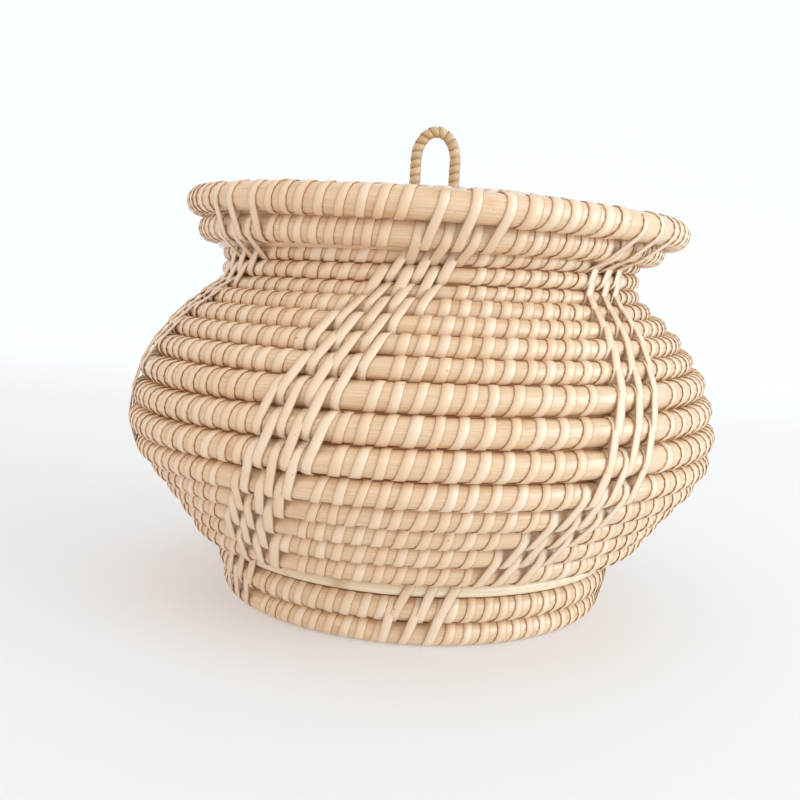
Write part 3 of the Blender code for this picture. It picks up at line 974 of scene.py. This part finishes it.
class BASKET_OT_foot(Operator):
    """Lay the two foot rings and the bare spacer, and bind and stitch the foot"""

    bl_idname = "basket.foot"
    bl_label = "Foot"

    def execute(self, context):
        made, peel = given()
        lower, upper, spacer = made.foot_lower, made.foot_upper, made.spacer
        for name, course, seed in (("foot_lower_ring", lower, 11), ("foot_upper_ring", upper, 12)):
            bound_cane(name, course, (seed, seed + 50), "basket", peel.close_pitch,
                       held_on_ring(course, FOOT_COLUMNS))
        cane_piece("spacer_ring", spacer, 13, "basket", "bare", "bare_cane")
        quarter = peel.stitch_pitch / 4 / (2 * math.pi * FOOT_RADIUS)
        stitches_piece("foot_stitches", "basket", 14, [
            (*rows, ring_turn(turn) + aside, 0.0) for turn in FOOT_COLUMNS
            for rows, aside in (((upper, lower), -quarter), ((spacer, upper), quarter))])
        ends = (spacer.turn[0], spacer.turn[-1], 0.0)
        # The packing is painted shade: a dark fill in the gaps between rows.
        packing_piece("foot_packing", "basket", (upper, lower, *ends), (spacer, upper, *ends))
        return {"FINISHED"}


class BASKET_OT_wall(Operator):
    """Lay the base and the wall as one coil in five lengths of cane, and bind them"""

    bl_idname = "basket.wall"
    bl_label = "Base and wall"

    def execute(self, context):
        made, peel = given()
        coil = made.coil
        ends = np.concatenate(([coil.turn[0], 0.0], np.cumsum(WALL_TURNS)))
        base = rays(coil, coil.turn[0] + BASE_RAYS_FROM, 0.0)
        columns = all_columns(made, peel)
        skipped = held_on_rays(coil, base, -1.0)
        for row in range(TOP_COIL_ROW, LAST_COIL_ROW + 1):
            skipped += held_on_row(made, columns, row)
        lengths = zip(WALL_CANES, ends, ends[1:], WALL_OPENINGS, WALL_BREADTHS)
        for seed, (name, first, last, opening, breadth) in enumerate(lengths):
            course = coil.part(first, last)
            right = on_right(course.turn, *RIGHT_OF_WALL)
            share = opening * (LEFT_OPENING + (1 - LEFT_OPENING) * right)
            pitch = peel.close_pitch + (peel.open_pitch - peel.close_pitch) * share
            bound_cane(name, course, (20 + seed, 70 + seed), "basket", pitch, skipped, breadth)
        stitches_piece("base_stitches", "basket", 79,
                       [(coil, coil, turn, 1.0, count) for turn, count in base])
        # The packing is painted shade: a dark fill in the gaps between rows.
        packing_piece("wall_packing", "basket",
                      (coil, coil, coil.turn[0] + 1, coil.turn[-1], 1.0))
        return {"FINISHED"}


class BASKET_OT_mouth(Operator):
    """Lay and bind the flare and the rim"""

    bl_idname = "basket.mouth"
    bl_label = "Mouth"

    def execute(self, context):
        made, peel = given()
        columns = all_columns(made, peel)
        right = on_right(made.rim.restarted().turn, *RIGHT_OF_MOUTH)
        for row, name, seed, pitch, wider in ((2, "flare_ring", 31, peel.close_pitch, 0.1),
                                              (1, "rim_ring", 32, peel.rim_pitch, 0.3)):
            bound_cane(name, made.wall_row(row)[0], (seed, seed + 50), "basket", pitch,
                       held_on_row(made, columns, row), 1 + wider * right)
        packing_piece("mouth_packing", "basket",
                      (made.rim, made.flare, made.flare.turn[0], made.flare.turn[-1], 0.0),
                      *gaps_on_ring(made.flare, made.coil), finish="cane")
        return {"FINISHED"}


class BASKET_OT_stitches(Operator):
    """Sew the slanting columns of long stitches that hold the rows of the wall together"""

    bl_idname = "basket.stitches"
    bl_label = "Long stitches"

    def execute(self, context):
        made, peel = given()
        coil_end = made.coil.turn[-1] - COIL_END_ROOM
        for column, turns in enumerate(all_columns(made, peel)):
            groups = []
            for row, here in enumerate(turns, start=1):
                upper, added = made.wall_row(row)
                lower, below = made.wall_row(row + 1)
                turn, offset = here + added, 1.0
                if row < TOP_COIL_ROW:
                    turn, offset = ring_turn(here), 0.0
                elif turn > coil_end:
                    continue
                if row == TOP_COIL_ROW - 1:
                    under = here + below
                    offset = turn - (under - math.ceil(under - coil_end))
                groups.append((upper, lower, turn, offset, STITCHES_IN_COLUMN,
                               WIDER_STITCHES.get(row, 1.0)))
            stitches_piece(f"stitch_column_{column + 1}", "basket", 40 + column, groups)
        return {"FINISHED"}


class BASKET_OT_lid(Operator):
    """Lay, bind and stitch the domed lid: edge ring, coil and heart"""

    bl_idname = "basket.lid"
    bl_label = "Lid"

    def execute(self, context):
        made, peel = given()
        lid, edge = made.lid, made.lid_edge
        last = lid.turn[-1]
        places = rays(lid, LID_RAYS_FROM, last - LID_RAYS_SHORT)
        outer = [place for place in places if place[0] > last - 1]
        inner = [place for place in places if place[0] <= last - 1]
        bound_cane("lid_edge_ring", edge, (61, 62), "lid", peel.close_pitch,
                   held_on_ring(edge, [turn for turn, _ in outer]))
        bound_cane("lid_coil", lid, (63, 64), "lid", peel.close_pitch,
                   held_on_rays(lid, places, 1.0))
        stitches_piece("lid_stitches", "lid", 67, [
            *((lid, lid, turn, -1.0, count) for turn, count in inner),
            *((lid, edge, turn, turn - ring_turn(turn), count) for turn, count in outer)])
        # The packing is painted shade: a dark fill in the gaps between rows.
        packing_piece("lid_packing", "lid", (lid, lid, 0.0, last - 1.0, -1.0),
                      *gaps_on_ring(edge, lid))
        half = LOOP_SPAN / 2 - made.canes.loop / 2 - TIE_GAP
        x = np.linspace(-half, half, 24)
        heart = Course(np.linspace(0.0, 1.0, 24), np.column_stack((x, 0 * x, made.crown + 0 * x)),
                       np.full(24, made.canes.heart))
        bound_cane("heart_cane", heart, (65, 66), "lid", peel.width * HEART_WRAPS_APART)
        weave = Weave(68)
        share = np.linspace(-1.0, 1.0, 16)
        middle = np.column_stack((HEART_HALF_LENGTH * share, 0 * share,
                                  made.crown - HEART_DROP + 0 * share))
        size = np.sqrt(1.04 - share ** 4)[:, None] * HEART_HALF_SECTION
        weave.carry(middle, np.tile((0.0, 1.0, 0.0), (16, 1)), np.tile((0.0, 0.0, 1.0), (16, 1)),
                    round_profile(8), size, 0.4)
        weave.make("heart_packing", (finishes()["loop"],), "lid", "bound_cane")
        return {"FINISHED"}


class BASKET_OT_loop(Operator):
    """Bend the loop handle and wind it with a darker strip"""

    bl_idname = "basket.loop"
    bl_label = "Loop handle"

    def execute(self, context):
        made, peel = given()
        crown, cane = made.crown, made.canes.loop
        half_span = LOOP_SPAN / 2
        top = crown + made.canes.lid / 2 + LOOP_HEIGHT - cane / 2 - LOOP_WRAP_ROOM
        below = crown - (made.canes.lid + cane) / 2 - ROW_GAP
        bend = np.linspace(0, math.pi / 2, 12)
        arch = np.linspace(0, math.pi / 2, 28)[:-1]
        right_x = np.concatenate(([half_span + LOOP_BEND + LOOP_TAIL],
                                  half_span + LOOP_BEND * (1 - np.sin(bend)),
                                  half_span * np.cos(arch)))
        right_z = np.concatenate(([below], below + LOOP_BEND * (1 - np.cos(bend)),
                                  top - LOOP_ARCH + LOOP_ARCH * np.sin(arch)))
        x = np.concatenate((right_x, [0.0], -right_x[::-1]))
        points = np.column_stack((x, 0 * x, np.concatenate((right_z, [top], right_z[::-1]))))
        length = travelled(points)
        even = np.linspace(0.0, length[-1], 120)
        centre = blended(even, length, points)
        along = unit(np.gradient(centre, axis=0))
        side = np.array((0.0, 1.0, 0.0))
        finish = finishes()
        weave = Weave(91)
        weave.carry(centre, np.cross(-side, along), np.broadcast_to(-side, along.shape),
                    round_profile(CORE_SIDES), np.full((len(centre), 2), cane / 2 - peel.sunk),
                    0.5)
        weave.make("loop_core", (finish["loop"],), "lid", "dark_cane", "loop_cane")

        weave = Weave(92)
        start = np.interp(crown + LOOP_WOUND_FROM, right_z, length[:len(right_z)])
        wound = length[-1] - 2 * start
        turns = int(wound / peel.loop_pitch)
        share = np.linspace(0.0, 1.0, turns * WRAP_STEPS + 1)
        place = start + share * wound
        way = unit(blended(place, even, along))
        angle = (2 * math.pi * turns * share)[:, None]
        facing = np.cross(side, way) * np.cos(angle) + side * np.sin(angle)
        tone = weave.random.random(turns + 1)[(share * turns).astype(int)]
        weave.strip(blended(place, even, centre) + facing * (cane / 2 + LOOP_STRIP_RISE), facing,
                    peel.width * LOOP_STRIP_NARROWER, tone)
        weave.make("loop_binding", (finish["loop"], finish["edge"]), "lid", "dark_cane",
                   "loop_wrap")

        angle = np.linspace(math.pi, 2 * math.pi, 20)
        facing = np.column_stack((0 * angle, np.cos(angle), np.sin(angle)))
        tail = half_span + LOOP_BEND + LOOP_TAIL * TIE_PLACE
        for side_name, sign in (("left", -1), ("right", 1)):
            weave = Weave(93)
            weave.strip((sign * tail, 0.0, below) + facing * (cane / 2 + LOOP_WRAP_ROOM), facing,
                        TIE_WIDTH, 0.5)
            weave.make_peel(f"{side_name}_tie", "lid", f"{side_name}_tail_tie")
        return {"FINISHED"}


class BASKET_OT_stage(Operator):
    """Set the pale floor, the soft light and the camera"""

    bl_idname = "basket.stage"
    bl_label = "Stage"

    def execute(self, context):
        tint = context.scene.basket_colours
        stage = context.scene.basket_stage
        self.floor(tint.floor, tint.far)
        self.world(context, tint.air, stage.air_strength)
        self.area("key", *KEY_LIGHT, stage.key_strength, tint.key)
        self.area("fill", *FILL_LIGHT, stage.fill_strength, FILL_COLOUR)
        self.camera(context)
        context.scene.view_settings.view_transform = "Standard"
        return {"FINISHED"}

    def floor(self, colour, far):
        """Lay a floor that sweeps up behind: level, then a quarter circle, then upright.

        Its colour turns to the far one with the distance behind the basket. It also glows:
        painted light that brightens the floor and its shadows and lights the foot from below.
        """
        width = np.linspace(-FLOOR_REACH, FLOOR_REACH, 7)
        bend = np.linspace(0.0, math.pi / 2, 24)
        depth = np.concatenate(([-FLOOR_REACH, -0.5], SWEEP_START + SWEEP_RADIUS * np.sin(bend),
                                [SWEEP_START + SWEEP_RADIUS]))
        level = np.concatenate(([0.0, 0.0], SWEEP_RADIUS * (1 - np.cos(bend)), [SWEEP_TOP]))
        x, y = np.meshgrid(width, depth, indexing="ij")
        vertices = np.stack((x, y, np.broadcast_to(level, x.shape)), axis=-1).reshape(-1, 3)
        rows = len(depth)
        corner = (np.arange(len(width) - 1)[:, None] * rows + np.arange(rows - 1)).ravel()
        faces = np.column_stack((corner, corner + rows, corner + rows + 1, corner + 1))
        mesh = bpy.data.meshes.new("floor")
        mesh.from_pydata(vertices.tolist(), [], faces.tolist())
        mesh.polygons.foreach_set("use_smooth", np.ones(len(mesh.polygons), bool))
        material = bpy.data.materials.new("floor")
        material.use_nodes = True
        tree = material.node_tree
        place = new_node(tree, "ShaderNodeTexCoord")["Object"]
        behind = new_node(tree, "ShaderNodeSeparateXYZ", {0: place})["Y"]
        soft = tuple(part * 0.985 for part in colour)
        near = mixed(tree, noise(tree, place, 9.0), colour, soft)
        fill(tree, tree.nodes["Principled BSDF"], {
            "Base Color": mixed(tree, ranged(tree, behind, *FAR_FROM_TO), near, far),
            # Painted light: the floor glows faintly though it is no lamp.
            "Roughness": 0.7, "Emission Color": FLOOR_GLOW,
            "Emission Strength": FLOOR_GLOW_STRENGTH})
        mesh.materials.append(material)
        add_object("floor", mesh)

    def world(self, context, colour, strength):
        """Fill the scene with even pale light."""
        world = bpy.data.worlds.new("air")
        world.use_nodes = True
        fill(world.node_tree, world.node_tree.nodes["Background"],
             {"Color": colour, "Strength": strength})
        context.scene.world = world

    def area(self, name, place, size, power, colour):
        """Hang a square soft light that faces the middle of the basket."""
        light = bpy.data.lights.new(name, "AREA")
        light.energy = power
        light.color = colour
        light.size = size
        item = add_object(name, light)
        item.location = place
        item.rotation_euler = (LIGHT_AIM - Vector(place)).to_track_quat("-Z", "Y").to_euler()

    def camera(self, context):
        """Stand the camera in front: turned a little left, tipped down and rolled."""
        data = bpy.data.cameras.new("camera")
        data.sensor_width = 36.0
        data.lens = CAMERA_LENS
        data.clip_start = 0.01
        item = add_object("camera", data)
        item.matrix_world = Matrix.Translation(CAMERA_PLACE)
        for angle, axis in CAMERA_ANGLES:
            item.matrix_world @= Matrix.Rotation(math.radians(angle), 4, axis)
        context.scene.camera = item


class BASKET_PT_sidebar(Panel):
    """Lists the sizes, the colours and the steps"""

    bl_idname = "BASKET_PT_sidebar"
    bl_label = "Coiled Basket"
    bl_space_type = "VIEW_3D"
    bl_region_type = "UI"
    bl_category = "Basket"

    def draw(self, context):
        for name, kind in SETTINGS.items():
            box = self.layout.box()
            for field in kind.__annotations__:
                box.prop(getattr(context.scene, name), field)
        for step in STEPS:
            self.layout.operator(step.bl_idname)


SETTINGS = {"basket_canes": BasketCanes, "basket_peel": BasketPeel,
            "basket_colours": BasketColours, "basket_stage": BasketStage}
STEPS = (BASKET_OT_foot, BASKET_OT_wall, BASKET_OT_mouth, BASKET_OT_stitches, BASKET_OT_lid,
         BASKET_OT_loop, BASKET_OT_stage)
CLASSES = (*SETTINGS.values(), *STEPS, BASKET_PT_sidebar)


def register():
    """Register the classes and hang the settings on the scene."""
    for item in CLASSES:
        bpy.utils.register_class(item)
    for name, kind in SETTINGS.items():
        setattr(bpy.types.Scene, name, PointerProperty(type=kind))


def unregister():
    """Undo register."""
    for name in SETTINGS:
        delattr(bpy.types.Scene, name)
    for item in reversed(CLASSES):
        bpy.utils.unregister_class(item)


def main():
    """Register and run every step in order."""
    register()
    bpy.ops.basket.stage()
    bpy.ops.basket.foot()
    bpy.ops.basket.wall()
    bpy.ops.basket.mouth()
    bpy.ops.basket.stitches()
    bpy.ops.basket.lid()
    bpy.ops.basket.loop()


if __name__ == "__main__":
    main()
